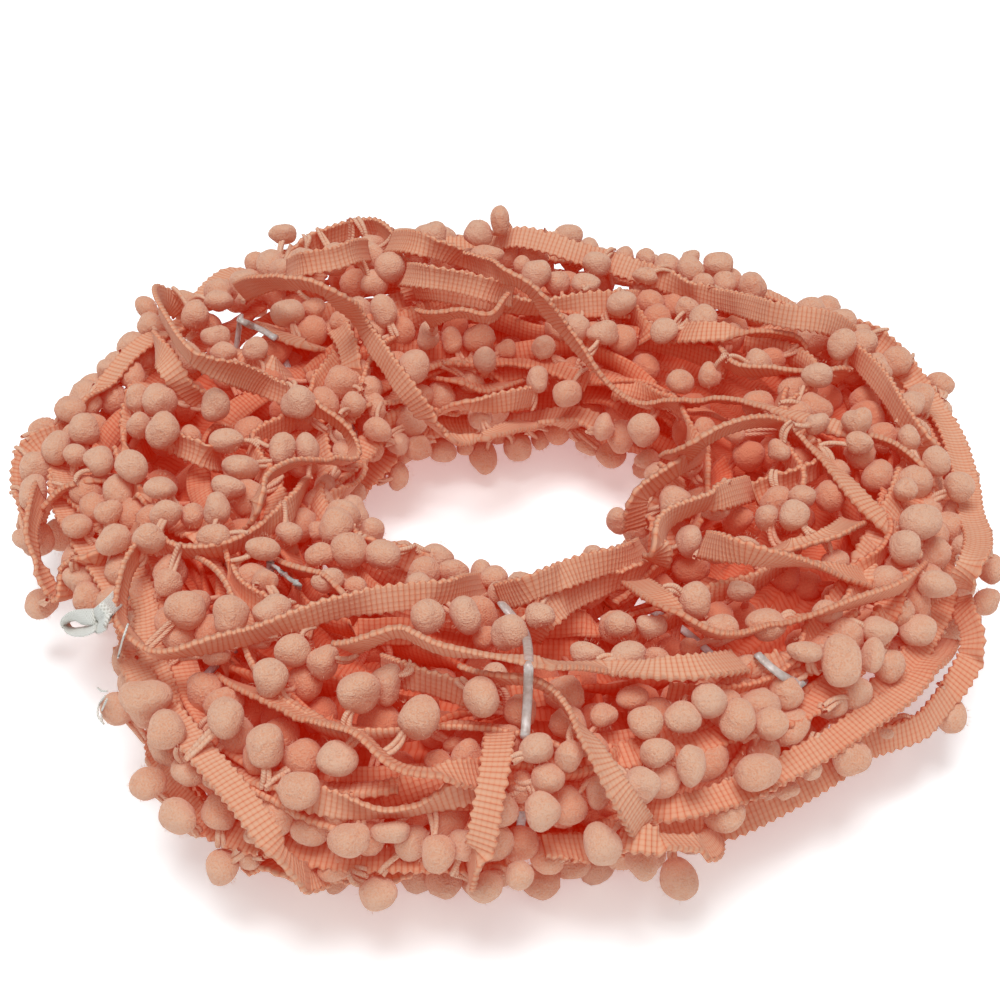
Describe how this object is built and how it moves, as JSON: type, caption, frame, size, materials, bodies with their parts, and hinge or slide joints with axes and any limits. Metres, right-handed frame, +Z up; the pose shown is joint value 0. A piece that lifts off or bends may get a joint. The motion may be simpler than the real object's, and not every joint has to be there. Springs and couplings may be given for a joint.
{
  "type": "pompom fringe trim in a tied ring-shaped hank",
  "caption": "Woven tape edged with small felted pompoms, wound into a loose flat-lying ring and held by clear ties.",
  "frame": {"origin": "middle of the hank's outline on the surface that it lies on", "axes": "+Z up through the ring's hole, +X to the viewer's right in the picture's view, +Y away from the viewer"},
  "size_m": [0.301, 0.2834, 0.0817],
  "materials": {
    "wound_trim": "coral wool-like felt and woven tape, matt",
    "tape_and_pompoms": "coral ribbed woven tape with soft felted pompoms, matt",
    "clear_tie": "thin clear to milky plastic strip, glossy",
    "white_webbing": "plain white woven webbing, matt"
  },
  "bodies": {
    "root": {"hank": "wound_trim", "turn_inner_back_low": "tape_and_pompoms", "turn_inner_front_left": "tape_and_pompoms", "turn_back_outer_high": "tape_and_pompoms", "turn_back_outer_low": "tape_and_pompoms", "turn_right_back_outer": "tape_and_pompoms", "turn_left_back_low": "tape_and_pompoms", "turn_hole_left": "tape_and_pompoms", "turn_hole_right": "tape_and_pompoms", "turn_back_left_edge": "tape_and_pompoms", "turn_back_left_band": "tape_and_pompoms", "turn_left_outer_band": "tape_and_pompoms", "turn_left_waffle": "tape_and_pompoms", "turn_front_low": "tape_and_pompoms", "turn_front_mid": "tape_and_pompoms", "turn_front_left_fold": "tape_and_pompoms", "turn_right_low": "tape_and_pompoms", "turn_right_floor_loop": "tape_and_pompoms", "turn_front_floor_bit": "tape_and_pompoms", "turn_right_side": "tape_and_pompoms", "turn_right_outer_loop": "tape_and_pompoms", "turn_back_third": "tape_and_pompoms", "turn_back_second": "tape_and_pompoms", "turn_right_back_third": "tape_and_pompoms", "turn_right_back_second": "tape_and_pompoms", "turn_back_top": "tape_and_pompoms", "turn_left_folds": "tape_and_pompoms", "turn_left_loop_far": "tape_and_pompoms", "turn_left_loop_low": "tape_and_pompoms", "turn_left_front_top": "tape_and_pompoms", "turn_left_wedge": "tape_and_pompoms", "turn_left_diagonal": "tape_and_pompoms", "turn_left_arc": "tape_and_pompoms", "turn_front_right_upper": "tape_and_pompoms", "turn_inner_front_right": "tape_and_pompoms", "turn_right_inner_curl": "tape_and_pompoms", "turn_right_top": "tape_and_pompoms", "turn_right_arch": "tape_and_pompoms", "turn_right_scallop": "tape_and_pompoms", "turn_front_drop": "tape_and_pompoms", "turn_front_right_arc": "tape_and_pompoms", "turn_front_top": "tape_and_pompoms", "turn_left_curl": "tape_and_pompoms", "turn_back_inner_sweep": "tape_and_pompoms", "turn_back_to_right": "tape_and_pompoms", "tie_woven_end": "white_webbing", "tie_back_left": "clear_tie", "tie_left": "clear_tie", "tie_front": "clear_tie", "tie_right": "clear_tie", "turn_floor_left": "tape_and_pompoms", "turn_floor_front_left": "tape_and_pompoms", "turn_floor_front_right": "tape_and_pompoms", "turn_floor_right": "tape_and_pompoms"}
  },
  "joints": []
}
